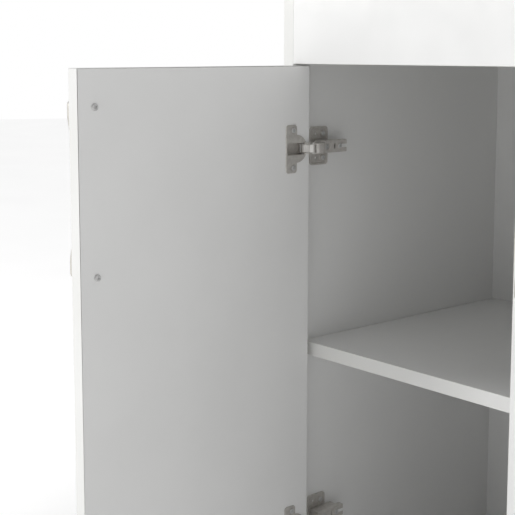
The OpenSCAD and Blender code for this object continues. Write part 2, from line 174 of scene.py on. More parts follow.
def smooth(piece, angle=35):
    pick(piece)
    bpy.ops.object.shade_smooth_by_angle(angle=math.radians(angle))
    return piece


def joined(name, pieces):
    pick(*pieces)
    bpy.ops.object.join()
    piece = bpy.context.object
    piece.name = piece.data.name = name
    return piece


def copyTo(piece, name, place=Matrix.Identity(4)):
    twin = bpy.data.objects.new(name, piece.data.copy())
    twin.data.name = name
    bpy.context.scene.collection.objects.link(twin)
    twin.data.transform(place)
    if place.determinant() < 0:
        twin.data.flip_normals()
    return twin


def camel(words):
    return "".join(word.capitalize() for word in words.split("_"))


def fit(piece, body, nodes, slot, *finishes):
    # last step of every piece: even shading, its finish, its body and the CAD nodes that it stands for
    if len(piece.data.polygons) > 12:
        applied(piece, "WEIGHTED_NORMAL", keep_sharp=True, weight=80)
    if finishes:
        piece.data.materials.clear()
        for finish in finishes:
            piece.data.materials.append(finish)
    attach(piece, body)
    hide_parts(*nodes)
    return piece


# outlines in mm

def arc(centre, radius, start, end, steps):
    turns = [math.radians(start + (end - start) * i / steps) for i in range(steps + 1)]
    return [(centre[0] + radius * math.cos(t), centre[1] + radius * math.sin(t)) for t in turns]


def roundRect(x0, y0, x1, y1, radius, steps=8):
    corners = ((x1, y1, 0), (x0, y1, 90), (x0, y0, 180), (x1, y0, 270))
    points = []
    for x, y, start in corners:
        middle = (x + (radius if x == x0 else -radius), y + (radius if y == y0 else -radius))
        points += arc(middle, radius, start, start + 90, steps)
    return points


def softPath(points, steps=6):
    # a smooth run through a few points
    ends = [points[0]] + list(points) + [points[-1]]
    run = []
    for a, b, c, d in zip(ends, ends[1:], ends[2:], ends[3:]):
        for i in range(steps):
            t = i / steps
            run.append(tuple(0.5 * (2 * b[k] + (c[k] - a[k]) * t
                                    + (2 * a[k] - 5 * b[k] + 4 * c[k] - d[k]) * t * t
                                    + (3 * b[k] - a[k] - 3 * c[k] + d[k]) * t ** 3) for k in (0, 1)))
    return run + [tuple(points[-1])]


def stripOutline(path, thickness):
    sides = []
    for offset in (thickness / 2, -thickness / 2):
        row = []
        for i, here in enumerate(path):
            before, after = path[max(i - 1, 0)], path[min(i + 1, len(path) - 1)]
            run = Vector((after[0] - before[0], after[1] - before[1])).normalized()
            row.append((here[0] - run.y * offset, here[1] + run.x * offset))
        sides.append(row)
    return sides[0] + sides[1][::-1]


# finishes

def linear(hexCode):
    parts = [int(hexCode[i:i + 2], 16) / 255 for i in (1, 3, 5)]
    return [p / 12.92 if p <= 0.04045 else ((p + 0.055) / 1.055) ** 2.4 for p in parts] + [1.0]


def addNode(tree, kind, settings=None, **inputs):
    node = tree.nodes.new(kind)
    for key, value in (settings or {}).items():
        setattr(node, key, value)
    for key, value in inputs.items():
        socket = node.inputs[int(key[2:]) if key.startswith("in") else key.replace("_", " ")]
        if isinstance(value, bpy.types.NodeSocket):
            tree.links.new(value, socket)
        else:
            socket.default_value = value
    return node


def startFinish(name, **constants):
    finish = bpy.data.materials.new(name)
    finish.use_nodes = True
    tree = finish.node_tree
    shader = tree.nodes["Principled BSDF"]
    for key, value in constants.items():
        shader.inputs[key.replace("_", " ")].default_value = value
    place = addNode(tree, "ShaderNodeTexCoord").outputs["Object"]
    return finish, tree, shader, place


def mottle(tree, place, grain, detail=3.0, stretch=(1, 1, 1)):
    # noise whose lumps are about grain mm across
    scaled = addNode(tree, "ShaderNodeMapping", Vector=place, Scale=stretch)
    return addNode(tree, "ShaderNodeTexNoise", Vector=scaled.outputs["Vector"], Scale=1 / (grain * mm),
                   Detail=detail).outputs["Fac"]


def coloured(tree, shader, factor, dark, light):
    ramp = addNode(tree, "ShaderNodeValToRGB", Fac=factor)
    for stop, position, tone in zip(ramp.color_ramp.elements, (0.35, 0.65), (dark, light)):
        stop.position = position
        stop.color = linear(tone)
    tree.links.new(ramp.outputs["Color"], shader.inputs["Base Color"])


def roughened(tree, shader, factor, low, high):
    mapped = addNode(tree, "ShaderNodeMapRange", Value=factor, From_Min=0.3, From_Max=0.7,
                     To_Min=low, To_Max=high)
    tree.links.new(mapped.outputs["Result"], shader.inputs["Roughness"])


def bumped(tree, shader, height, strength, depth):
    bump = addNode(tree, "ShaderNodeBump", Height=height, Strength=strength, Distance=depth * mm)
    tree.links.new(bump.outputs["Normal"], shader.inputs["Normal"])


def melamineBoard(name, dark, light, roughness):
    # white melamine faced chipboard, pressed with a fine satin pearl: soft sheen, faint handling marks
    finish, tree, shader, place = startFinish(name, IOR=1.5)
    coloured(tree, shader, mottle(tree, place, 90), dark, light)
    roughened(tree, shader, mottle(tree, place, 35, 5), roughness - 0.06, roughness + 0.07)
    # the real pearl is 0.3 mm across; drawn at 1.6 mm so that it shows
    bumped(tree, shader, mottle(tree, place, 1.6, 4), 0.22, 0.05)
    return finish


def platedSteel(name, dark, light, roughness, metallic=0.45, brush=(1, 1, 1), depth=0.008):
    # nickel or zinc over pressed steel: even satin metal with faint rolling marks
    finish, tree, shader, place = startFinish(name, Metallic=metallic)
    coloured(tree, shader, mottle(tree, place, 6, 4), dark, light)
    roughened(tree, shader, mottle(tree, place, 2.5, 4, brush), roughness - 0.08, roughness + 0.1)
    bumped(tree, shader, mottle(tree, place, 0.8, 3, brush), 0.2, depth)
    return finish


def glazedCeramic():
    # vitreous china under a clear glaze: mirror-like, with the glaze's long soft waves
    finish, tree, shader, place = startFinish("glazedCeramic", IOR=1.52, Coat_Weight=0.6,
                                              Coat_Roughness=0.04)
    coloured(tree, shader, mottle(tree, place, 60), "#F0F0EC", "#F6F6F3")
    roughened(tree, shader, mottle(tree, place, 25), 0.1, 0.18)
    bumped(tree, shader, mottle(tree, place, 30, 1), 0.08, 0.3)
    return finish


def mouldedNylon():
    # glass filled nylon straight from the mould: dull black with a fine spark texture
    finish, tree, shader, place = startFinish("mouldedNylon", IOR=1.53)
    coloured(tree, shader, mottle(tree, place, 5), "#1B1B1C", "#262627")
    roughened(tree, shader, mottle(tree, place, 1.2), 0.5, 0.66)
    bumped(tree, shader, mottle(tree, place, 0.6, 4), 0.3, 0.06)
    return finish


def flutedBeech():
    # plain beech dowel: warm tan with short darker flecks along the grain
    finish, tree, shader, place = startFinish("flutedBeech", IOR=1.5, Roughness=0.62)
    grain = mottle(tree, place, 1.5, 4, (0.12, 1, 1))
    coloured(tree, shader, grain, "#A97E52", "#D2AC7C")
    bumped(tree, shader, grain, 0.3, 0.08)
    return finish


def rawHardboard():
    # the unfaced back of the back panel: brown pressed fibre with a woven screen mark
    finish, tree, shader, place = startFinish("rawHardboard", IOR=1.48)
    coloured(tree, shader, mottle(tree, place, 4, 8), "#8A6A48", "#A88660")
    roughened(tree, shader, mottle(tree, place, 8), 0.72, 0.86)
    screen = addNode(tree, "ShaderNodeTexVoronoi", {"feature": "F1"}, Vector=place, Scale=1 / (2.2 * mm))
    bumped(tree, shader, screen.outputs["Distance"], 0.5, 0.12)
    return finish


whiteBoard = melamineBoard("melamineBoard", "#F7F7F6", "#F9F9F8", 0.44)
whiteBand = melamineBoard("absEdgeBand", "#EEEEEB", "#F2F2F0", 0.34)
nickel = platedSteel("nickelPlate", "#CBC7C2", "#D9D6D1", 0.44, 0.4)
# painted highlight: a lighter, glossier copy of the nickel plate that stands in for the light falling on
# the outer levers
litNickelHighlight = platedSteel("polishedNickelPlate", "#E6E3DE", "#F0EEEA", 0.36, 0.35)
satinNickel = platedSteel("satinNickelCasting", "#C4C1BB", "#D2CFC9", 0.36, 0.6, (1, 1, 0.08), 0.01)
zinc = platedSteel("zincPlatedSteel", "#CFCFCE", "#DEDEDD", 0.38, 0.4)
ceramic = glazedCeramic()
nylon = mouldedNylon()
beech = flutedBeech()
hardboard = rawHardboard()
print("finishes made")


# boards: a copy of each CAD board with its outer edges eased and its edge bands cut in

board = {"ease": 0.6, "band": 0.8}
bandedSides = {
    "left_side": "-y +z", "right_side": "-y +z", "bottom_panel": "-y", "front_rail": "-z",
    "rear_rail": "-z", "shelf": "-y +y -x +x", "right_door": "-x +x -z +z", "left_door": "-y +y -z +z",
    "back_panel": "",
}


def makeBoard(node, body):
    low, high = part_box(node)
    piece = copyTo(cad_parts[node], camel(node))
    pick(piece)
    bpy.ops.object.mode_set(mode="EDIT")
    bpy.ops.mesh.select_all(action="SELECT")
    bpy.ops.mesh.remove_doubles(threshold=0.002 * mm)
    bpy.ops.mesh.dissolve_limited(angle_limit=math.radians(1))
    cuts = []
    for side in bandedSides[node].split():
        axis, outward = "xyz".index(side[1]), 1 if side[0] == "+" else -1
        normal = Vector([0, 0, 0])
        normal[axis] = outward
        level = (high if outward > 0 else low)[axis] - outward * board["band"] * mm
        point = Vector([0, 0, 0])
        point[axis] = level
        bpy.ops.mesh.select_all(action="SELECT")
        bpy.ops.mesh.bisect(plane_co=point, plane_no=normal)
        cuts.append((axis, outward, level))
    bpy.ops.mesh.select_mode(type="EDGE")
    bpy.ops.mesh.select_all(action="DESELECT")
    bpy.ops.object.mode_set(mode="OBJECT")
    near = 0.01 * mm
    points = [v.co for v in piece.data.vertices]

    def outerSides(point):
        return {(a, s) for a in range(3) for s in (0, 1) if abs(point[a] - (low, high)[s][a]) < near}
    for edge in piece.data.edges:
        shared = outerSides(points[edge.vertices[0]]) & outerSides(points[edge.vertices[1]])
        edge.select = len(shared) == 2
    bpy.ops.object.mode_set(mode="EDIT")
    bpy.ops.mesh.bevel(offset=board["ease"] * mm, segments=2, affect="EDGES")
    bpy.ops.object.mode_set(mode="OBJECT")
    smooth(piece, 60)
    fit(piece, body, [node], "white_board", whiteBoard, whiteBand, hardboard)
    for face in piece.data.polygons:
        onBand = any((face.center[axis] - level) * outward > 0 for axis, outward, level in cuts)
        onBack = node == "back_panel" and face.normal.y > 0.5
        face.material_index = 2 if onBack else 1 if onBand else 0
    return piece


for boardNode in bandedSides:
    makeBoard(boardNode, boardNode if boardNode.endswith("door") else "cabinet")
print("boards eased and banded")


# screws: a pan head with a cross recess on a plain shank, along +Y from its seat

screw = {"slot": 0.9, "slotDeep": 1.1, "pitDeep": 1.3}


def makeScrew(headRadius, headHeight, shankRadius, shankLength, crossSize):
    head = addRod("screw", (0, 0, 0), (0, headHeight, 0), headRadius, sides=40)
    soften(head, headHeight * 0.55, 4, 60)
    for wide, tall in ((crossSize, screw["slot"]), (screw["slot"], crossSize)):
        cut(head, addBlock("cross", (-wide / 2, headHeight - screw["slotDeep"], -tall / 2),
                           (wide / 2, headHeight + 1, tall / 2)))
    cut(head, addRod("pit", (0, headHeight - screw["pitDeep"], 0), (0, headHeight + 0.1, 0),
                     crossSize * 0.16, crossSize * 0.3, 24))
    fuse(head, addRod("shank", (0, -shankLength, 0), (0, 0.2, 0), shankRadius, sides=24))
    return smooth(head, 40)


# handles

handle = {"reach": 31, "grip": 8, "middle": 7, "end": 13, "pitch": 192, "length": 206, "flare": 44,
          "neck": 4.6, "base": 6.3, "baseHigh": 2.4, "ease": 2.6, "sideGap": 3,
          "fromEdge": {"left": 22, "right": 30}}


def gripHalf(z):
    start = handle["length"] / 2 - handle["flare"]
    t = max(0.0, min(1.0, (abs(z) - start) / (handle["flare"] * 0.6)))
    return (handle["middle"] + (handle["end"] - handle["middle"]) * (1 - math.cos(math.pi * t)) / 2) / 2


# the handle as it sits on a closed door: its seat at y = 0, the grip towards -y, the length along z
def makeHandle():
    ends = handle["length"] / 2 - handle["end"] / 2
    levels = [ends * (2 * i / 40 - 1) for i in range(41)]
    outline = [(gripHalf(z), z) for z in levels[:-1]]
    outline += arc((0, ends), handle["end"] / 2, 0, 180, 14)
    outline += [(-gripHalf(z), z) for z in levels[-2:0:-1]]
    outline += arc((0, -ends), handle["end"] / 2, 180, 360, 14)[:-1]
    grip = addPlate("grip", outline, -handle["reach"], -handle["reach"] + handle["grip"], "xzy")
    soften(grip, handle["ease"], 5, 50)
    for d in (-1, 1):
        z = d * handle["pitch"] / 2
        top = -handle["reach"] + handle["grip"] - 1
        neck = addRod("neck", (0, 0, z), (0, top, z), handle["neck"])
        foot = addRod("foot", (0, 0, z), (0, -handle["baseHigh"], z), handle["base"])
        soften(foot, 1.4, 4, 60)
        fuse(grip, neck, foot)
    return smooth(grip, 32)


# the left half's frame: x from the side panel, y from the front; the right half mirrors it
def halfPlaces(z):
    left = Matrix.Translation((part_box("left_side")[1].x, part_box("left_side")[0].y, z))
    return {"left": left, "right": Matrix.Scale(-1, 4, (1, 0, 0)) @ left}


def turned(pivot, degrees):
    there = Matrix.Translation((pivot[0] * mm, pivot[1] * mm, 0))
    return there @ Matrix.Rotation(math.radians(degrees), 4, "Z") @ there.inverted()


# the left door stands open, so all that it carries is turned with it
swingAxis = (7.6, 5.1)
doorTurn = {"left": turned(swingAxis, -90), "right": Matrix.Identity(4)}
doorWide = (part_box("right_door")[1].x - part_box("right_door")[0].x) / mm
handleProto = makeHandle()
doorScrew = makeScrew(4.2, 2.4, 2.0, 20, 4.8)
for side in ("left", "right"):
    low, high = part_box(side + "_handle")
    middle = halfPlaces((low.z + high.z) / 2)[side] @ doorTurn[side]
    seatX = handle["sideGap"] + doorWide - handle["fromEdge"][side]
    seat = middle @ Matrix.Translation((seatX * mm, 0, 0))
    piece = copyTo(handleProto, side + "Handle", seat)
    fit(piece, side + "_door", [side + "_handle"], "satin_nickel", satinNickel)
    screws = []
    for d in (-1, 1):
        hole = Matrix.Translation((0, boardThick * mm, d * handle["pitch"] / 2 * mm))
        spin = Matrix.Rotation(math.radians(28 * d), 4, "Y")
        screws.append(copyTo(doorScrew, "s", seat @ hole @ spin))
    fit(joined(side + "HandleScrews", screws), side + "_door", [side + "_handle_screws"], "zinc", zinc)
print("handles and their screws made")


# concealed hinges, modelled closed at the middle of one left hinge, in mm

hinge = {
    "outerPivot": (30.0, 8.9), "innerPivot": (26.7, 13.0), "outerCatch": (11.8, 11.0),
    "innerCatch": (11.5, 14.5), "outerTurn": 32.45, "innerTurn": 56.21,
    "cupX": 25.5, "cupRadius": 17.4, "cupFloor": 5.5,
    "flange": 1.2, "flangeX": (25, 44), "flangeHalf": 31, "rim": 18, "screwX": 31.5, "screwZ": 24,
    "lever": 5, "nose": (5.2, 6.2), "bar": (6.4, 7.4), "cavity": 7.8, "pin": 1.0, "play": 0.05,
    "armHalf": 8.35, "armTop": 21, "armStart": 31, "armEnd": 79, "sheet": 1.2,
    "adjust": 42, "slot": 56, "clamp": 65, "plateY": (29, 61), "plateHalf": 25.5, "plate": 2.4,
    "spineTop": 12.2, "spineHalf": 6.6, "spineEnd": 74,
    "plateScrewY": 52, "guideY": 40, "plateScrewZ": 16,
}


def flangeOutline():
    # a strip for the two screws, with the cup's rim bulging out of its near side
    h = hinge
    near, far = h["flangeX"]
    reach = math.degrees(math.acos((near - h["cupX"]) / h["rim"]))
    strip = roundRect(near, -h["flangeHalf"], far, h["flangeHalf"], 4.5)
    corner = len(strip) // 4
    bulge = arc((h["cupX"], 0), h["rim"], reach, 360 - reach, 40)
    return strip[:2 * corner] + bulge + strip[2 * corner:]


def makeCup():
    h = hinge
    face = boardThick
    cup = addPlate("cup", flangeOutline(), face, face + h["flange"], "xzy")
    soften(cup, 0.45, 3, 50)
    body = addRod("body", (h["cupX"], h["cupFloor"], 0), (h["cupX"], face + 0.4, 0), h["cupRadius"],
                  sides=96)
    pickFaces(body, lambda side: side.normal.y < -0.9)
    bpy.ops.mesh.bevel(offset=1.0 * mm, segments=3, affect="EDGES")
    bpy.ops.object.mode_set(mode="OBJECT")
    fuse(cup, body)
    hollow = addPlate("hollow", cavityOutline(), h["cupFloor"] + 0.8, face + 5, "xzy")
    mouth = addBlock("mouth", (9, face, -h["cavity"]), (h["cupX"], face + 4, h["cavity"]))
    cut(cup, hollow, mouth)
    # the rolled lip along the far edge of the strip
    lip = addBlock("lip", (h["flangeX"][1] - 1.3, face + 0.6, 5 - h["flangeHalf"]),
                   (h["flangeX"][1] - 0.1, face + h["flange"] + 0.5, h["flangeHalf"] - 5))
    fuse(cup, soften(lip, 0.4, 3, 60))
    for d in (-1, 1):
        # a shallow dish under each screw
        z = d * h["screwZ"]
        cut(cup, addRod("dish", (h["screwX"], face + 0.6, z), (h["screwX"], face + 3, z), 3.8, 5.2, 40))
        low, high = sorted((d * h["nose"][0], d * h["nose"][1]))
        ear = addBlock("ear", (9.4, h["cupFloor"] + 0.4, low), (13.8, h["outerCatch"][1] + 1.6, high))
        fuse(cup, ear)
    return smooth(cup, 32)


def cavityOutline():
    # the cup's inside: a circle cut off flat at the top and the bottom
    h = hinge
    radius = h["cupRadius"] - 0.8
    lean = math.degrees(math.asin(h["cavity"] / radius))
    centre = (h["cupX"], 0)
    return arc(centre, radius, -lean, lean, 16) + arc(centre, radius, 180 - lean, 180 + lean, 16)


def makeOuterLever():
    h = hinge
    path = softPath([(30, 7.6), (26, 7.2), (19.3, 7.45), (16.5, 7.8), (14.6, 8.6)])
    band = addPlate("band", stripOutline(path, h["sheet"]), -h["lever"], h["lever"])
    eye = addRod("eye", (*h["outerPivot"], -h["lever"]), (*h["outerPivot"], h["lever"]), 1.9, sides=40)
    fuse(band, eye)
    bore = addRod("bore", (*h["outerPivot"], -9), (*h["outerPivot"], 9), h["pin"] + h["play"], sides=32)
    cut(band, bore)
    return soften(band, 0.22, 2, 45)


def makeInnerLever():
    h = hinge
    bars = []
    path = softPath([(25.2, 12.2), (21.5, 10.2), (16.5, 9.6), (13.7, 10.9)])
    for d in (-1, 1):
        low, high = sorted((d * h["bar"][0], d * h["bar"][1]))
        bar = addPlate("bar", stripOutline(path, 2.0), low, high)
        fuse(bar, addRod("eye", (*h["innerPivot"], low), (*h["innerPivot"], high), 2.2, sides=40))
        cut(bar, addRod("bore", (*h["innerPivot"], low - 1), (*h["innerPivot"], high + 1),
                        h["pin"] + h["play"], sides=32))
        bars.append(soften(bar, 0.2, 2, 45))
    return joined("innerLever", bars)


def makeArm():
    h = hinge
    top, half, sheet = h["armTop"], h["armHalf"], h["sheet"]
    body = addBlock("arm", (8, h["armStart"], -half), (top, h["armEnd"], half))
    pickFaces(body, lambda face: face.normal.x > 0.5)
    bpy.ops.object.mode_set(mode="OBJECT")
    soften(body, 1.5, 4, 60)
    cut(body, addBlock("inside", (0, h["armStart"] + sheet, sheet - half),
                       (top - sheet, h["armEnd"] + 9, half - sheet)))
    # the sides fall away towards the back
    wedge = addPlate("wedge", [(0, 66), (12, 66), (15.5, 90), (0, 90)], -20, 20)
    cut(body, wedge)
    nose = [(25.2, 11.2), (28.8, 7.2), (31.2, 7.2), (34.5, 9.5), (37, 14), (37, 21), (33, 27.5), (26, 33),
            (20.6, 34.6), (13, 34.6), (13, 31.4), (20, 29.5), (25, 25), (26.2, 20), (24.6, 14.2)]
    for d in (-1, 1):
        low, high = sorted((d * h["nose"][0], d * h["nose"][1]))
        cheek = addPlate("cheek", nose, low, high)
        for pivot, radius in (("outerPivot", 2.1), ("innerPivot", 2.3)):
            fuse(cheek, addRod("eye", (*h[pivot], low), (*h[pivot], high), radius, sides=40))
        fuse(body, cheek)
    bend = softPath([(34.1, 10.2), (36.3, 14.2), (36.3, 20.6), (32.6, 26.8), (25.8, 32.2), (20.4, 33.8)])
    fuse(body, addPlate("web", stripOutline(bend, sheet), -h["nose"][1], h["nose"][1]))
    # a raised collar round the adjusting screw, then the holes and the open slot at the back
    collar = addRod("collar", (top - 1, h["adjust"], 0), (top + 0.35, h["adjust"], 0), 5.2, 4.7, 40)
    fuse(body, collar)
    cut(body, addRod("hole", (top - 4, h["adjust"], 0), (top + 3, h["adjust"], 0), 3.7, sides=40))
    cut(body, addBlock("slit", (top - 4, h["slot"] - 0.9, -3.5), (top + 3, h["slot"] + 0.9, 3.5)))
    cut(body, addRod("clampHole", (top - 4, h["clamp"], 0), (top + 3, h["clamp"], 0), 2.4, sides=32))
    cut(body, addBlock("fork", (top - 4, h["clamp"] + 4, -2.3), (top + 3, h["armEnd"] + 5, 2.3)))
    return soften(body, 0.25, 2, 50)


def makeMountingPlate():
    h = hinge
    near, far = h["plateY"]
    wings = addPlate("plate", roundRect(near, -h["plateHalf"], far, h["plateHalf"], 4.5),
                     0, h["plate"], "yzx")
    pickFaces(wings, lambda face: face.normal.x > 0.9)
    bpy.ops.mesh.inset(thickness=2.4 * mm)
    bpy.ops.mesh.inset(thickness=0.3 * mm)
    bpy.ops.transform.translate(value=(-1.4 * mm, 0, 0))
    bpy.ops.object.mode_set(mode="OBJECT")
    soften(wings, 0.3, 2, 40)
    spine = addBlock("spine", (0, near + 5, -h["spineHalf"]),
                     (h["spineTop"], h["spineEnd"], h["spineHalf"]))
    soften(spine, 0.8, 3, 50)
    fuse(wings, spine)
    for d in (-1, 1):
        z = d * h["plateScrewZ"]
        fuse(wings, addRod("boss", (0, h["plateScrewY"], z), (h["plate"], h["plateScrewY"], z),
                           4.6, 4.1, 40))
        cut(wings, addRod("hole", (-1, h["plateScrewY"], z), (9, h["plateScrewY"], z), 2.3, sides=32))
        cut(wings, addRod("guide", (-1, h["guideY"], z), (9, h["guideY"], z), 1.7, sides=32))
        # ribs beside the spine
        fuse(wings, addBlock("rib", (0, 33.5, z * 0.62 - 0.6), (h["plate"], 58, z * 0.62 + 0.6)))
    for y in (h["adjust"], h["clamp"]):
        cut(wings, addRod("thread", (h["spineTop"] - 8, y, 0), (h["spineTop"] + 2, y, 0), 2.05,
                          sides=32))
    return smooth(wings, 35)


def makePin(centre, half, head):
    # a riveted pin with domed ends
    pin = addRod("pin", (*centre, -half), (*centre, half), hinge["pin"], sides=32)
    for d in (-1, 1):
        cap = addRod("cap", (*centre, d * (half - 0.8)), (*centre, d * half), head, sides=32)
        soften(cap, 0.35, 3, 60)
        fuse(pin, cap)
    return smooth(pin, 40)


cupProto, armProto, plateProto = makeCup(), makeArm(), makeMountingPlate()
outerProto, innerProto = makeOuterLever(), makeInnerLever()
pinProto = joined("pins", [makePin(hinge["outerPivot"], 6.9, 1.6),
                           makePin(hinge["innerPivot"], 7.7, 1.3)])
cupPins = [addRod("cupPin", (*hinge["outerCatch"], -6.2), (*hinge["outerCatch"], 6.2), 0.9, sides=24)]
cupPins += [addRod("stub", (*hinge["innerCatch"], d * 6.3), (*hinge["innerCatch"], d * hinge["cavity"]),
                   0.65, sides=24) for d in (-1, 1)]
cupPinProto = smooth(joined("cupPins", cupPins), 40)
cupScrew = makeScrew(3.5, 1.4, 1.45, 10, 4.0)
plateScrew = makeScrew(3.5, 1.8, 2.0, 12, 4.0)
adjustScrew = makeScrew(3.5, 2.2, 2.0, 12, 4.6)
clampScrew = makeScrew(3.3, 1.8, 2.0, 14, 4.4)
print("hinge pieces modelled")


def shifted(x, y, z):
    return Matrix.Translation(Vector((x, y, z)) * mm)


# turns a screw from +Y to +X
alongX = Matrix.Rotation(math.radians(-90), 4, "Z")
h = hinge
loose = {"hinge_pins": [], "arm_screws": [], "plate_screws": []}
for side in ("left", "right"):
    onDoor = {"cup_screws": [], "cup_pins": []}
    for level in ("upper", "lower"):
        low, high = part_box(f"{side}_{level}_plate")
        half = halfPlaces((low.z + high.z) / 2)[side]
        isOpen = side == "left"
        outerPlace = half @ turned(h["outerPivot"], h["outerTurn"] * isOpen)
        innerPlace = half @ turned(h["innerPivot"], h["innerTurn"] * isOpen)
        doorPlace = half @ doorTurn[side]
        name = side + level.capitalize()
        for proto, suffix, body, place, finish in (
                (cupProto, "cup", side + "_door", doorPlace, nickel),
                # the outer lever wears the lighter nickel copy, which is a painted highlight and not a
                # different plating
                (outerProto, "outer_lever", side + "_outer_levers", outerPlace, litNickelHighlight),
                (innerProto, "inner_lever", side + "_inner_levers", innerPlace, nickel),
                (armProto, "arm", "cabinet", half, nickel),
                (plateProto, "plate", "cabinet", half, nickel)):
            node = f"{side}_{level}_{suffix}"
            fit(copyTo(proto, name + camel(suffix), place), body, [node], "nickel", finish)
        onDoor["cup_pins"].append(copyTo(cupPinProto, "p", doorPlace))
        loose["hinge_pins"].append(copyTo(pinProto, "p", half))
        loose["arm_screws"] += [
            copyTo(adjustScrew, "s", half @ shifted(h["armTop"] - 1.9, h["adjust"], 0) @ alongX),
            copyTo(clampScrew, "s", half @ shifted(h["armTop"], h["clamp"], 0) @ alongX)]
        for d in (-1, 1):
            spin = Matrix.Rotation(math.radians(20 + 35 * d), 4, "Y")
            place = shifted(h["screwX"], boardThick + h["flange"], d * h["screwZ"])
            onDoor["cup_screws"].append(copyTo(cupScrew, "s", doorPlace @ place @ spin))
            place = shifted(h["plate"], h["plateScrewY"], d * h["plateScrewZ"])
            loose["plate_screws"].append(copyTo(plateScrew, "s", half @ place @ alongX @ spin))
    for part, pieces in onDoor.items():
        fit(joined(side + camel(part), pieces), side + "_door", [f"{side}_{part}"], "zinc", zinc)
for part, pieces in loose.items():
    fit(joined("cabinet" + camel(part), pieces), "cabinet", [part], "zinc", zinc)
for proto in (cupProto, armProto, plateProto, outerProto, innerProto, pinProto, cupPinProto, cupScrew,
              plateScrew, adjustScrew, clampScrew, handleProto, doorScrew):
    bpy.data.objects.remove(proto)
print("four hinges placed")


# basin top: a slab with a round-cornered bowl

basin = {"wide": 470, "long": 270, "corner": 60, "bowlY": -30, "depth": 95, "wall": 9, "lip": 7,
         "round": 38, "waste": 23, "tap": 17.5, "tapY": 165, "edge": 5, "slab": 20}


# a stack of ever smaller round rectangles, each extruded from the last: (inset, level) pairs
def bowlStack(name, profile):
    inset, level = profile[0]
    wide, long = basin["wide"] / 2 - inset, basin["long"] / 2 - inset
    outline = roundRect(-wide, -long, wide, long, basin["corner"], 10)
    piece = addOutline(name, [(x, y + basin["bowlY"], level) for x, y in outline])
    bpy.ops.object.mode_set(mode="EDIT")
    bpy.ops.mesh.select_all(action="SELECT")
    for inset, newLevel in profile[1:]:
        newWide, newLong = basin["wide"] / 2 - inset, basin["long"] / 2 - inset
        rise = (0, 0, (newLevel - level) * mm)
        bpy.ops.mesh.extrude_region_move(TRANSFORM_OT_translate={"value": rise})
        bpy.ops.transform.resize(value=(newWide / wide, newLong / long, 1),
                                 center_override=(0, basin["bowlY"] * mm, newLevel * mm))
        wide, long, level = newWide, newLong, newLevel
    bpy.ops.object.mode_set(mode="OBJECT")
    return faceOut(piece)


def bowlProfile(top, depth, grow):
    # straight walls that lean in a little, then one large round into the floor
    lean, turn = 8, basin["round"] + grow
    steps = [math.radians(a) for a in range(0, 91, 9)]
    side, bottom = lean - grow, top - depth
    return [(side + turn * (1 - math.cos(a)), bottom + turn * (1 - math.sin(a))) for a in steps[:-1]]


def makeBasinTop():
    b = basin
    low, high = (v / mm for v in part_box("basin_top"))
    top = high.z
    piece = addBlock("slab", (low.x, low.y, top - b["slab"]), (high.x, high.y, top))
    soften(piece, b["edge"], 6, 60)
    outer = [(-b["wall"], top - b["slab"] + 4)] + bowlProfile(top, b["depth"] + b["wall"], b["wall"])
    outer.append((b["long"] / 2 - 60, top - b["depth"] - b["wall"]))
    fuse(piece, bowlStack("bowl", outer))
    water = [(0, top + 5), (0, top)]
    for a in [math.radians(15 * i) for i in range(1, 7)]:
        water.append((b["lip"] * math.sin(a) * 0.8, top - b["lip"] * (1 - math.cos(a))))
    water += bowlProfile(top, b["depth"] - 3, 0)
    # the floor falls gently to the waste
    water += [(b["long"] / 2 - 70, top - b["depth"] + 2.2), (b["long"] / 2 - 27, top - b["depth"] + 0.4)]
    cut(piece, bowlStack("water", water))
    bottom = top - b["depth"]
    for name, y, low, high, radius, tip in (
            ("waste", b["bowlY"], top - 130, top - 50, b["waste"], b["waste"]),
            ("sink", b["bowlY"], bottom - 2, bottom + 4, b["waste"], b["waste"] + 6),
            ("tap", b["tapY"], top - 30, top + 5, b["tap"], b["tap"]),
            ("tapEdge", b["tapY"], top - 0.8, top + 1, b["tap"], b["tap"] + 1.8)):
        cut(piece, addRod(name, (0, y, low), (0, y, high), radius, tip, 72))
    return smooth(piece, 28)


fit(makeBasinTop(), "cabinet", ["basin_top"], "ceramic", ceramic)
print("basin top made")


# feet, their studs and the shelf pins

foot = {"pad": 9, "padHigh": 5, "neck": 7, "neckHigh": 9, "flutes": 12,
        "stud": 4, "from": 4, "to": 29, "pitch": 1.25, "pinch": 0.86}


def makeFoot():
    piece = addRod("foot", (0, 0, 0), (0, 0, foot["padHigh"]), foot["pad"], sides=48)
    soften(piece, 0.9, 3, 60)
    neck = addRod("neck", (0, 0, 1), (0, 0, foot["neckHigh"]), foot["neck"], sides=48)
    for i in range(foot["flutes"]):
        turn = 2 * math.pi * i / foot["flutes"]
        x, y = foot["neck"] * math.cos(turn), foot["neck"] * math.sin(turn)
        cut(neck, addRod("flute", (x, y, foot["padHigh"] + 0.4), (x, y, foot["neckHigh"] + 1), 0.8,
                         sides=12))
    fuse(piece, neck)
    cut(piece, addRod("bore", (0, 0, 4), (0, 0, 20), foot["stud"] + 0.05, sides=32))
    return smooth(piece, 40)


# a threaded rod: a disc pushed up in short steps, pinched at every other one
def makeStud():
    pickNothing()
    bpy.ops.mesh.primitive_circle_add(vertices=32, radius=foot["stud"] * mm, fill_type="NGON",
                                      location=(0, 0, foot["from"] * mm))
    piece = settle("stud")
    bpy.ops.object.mode_set(mode="EDIT")
    bpy.ops.mesh.select_all(action="SELECT")
    steps = int((foot["to"] - foot["from"]) / foot["pitch"])
    for i in range(steps * 2):
        pinch = foot["pinch"] if i % 2 == 0 else 1 / foot["pinch"]
        level = foot["from"] + (i + 1) * foot["pitch"] / 2
        rise = (0, 0, foot["pitch"] / 2 * mm)
        bpy.ops.mesh.extrude_region_move(TRANSFORM_OT_translate={"value": rise})
        bpy.ops.transform.resize(value=(pinch, pinch, 1), center_override=(0, 0, level * mm))
    bpy.ops.object.mode_set(mode="OBJECT")
    return smooth(faceOut(piece), 30)


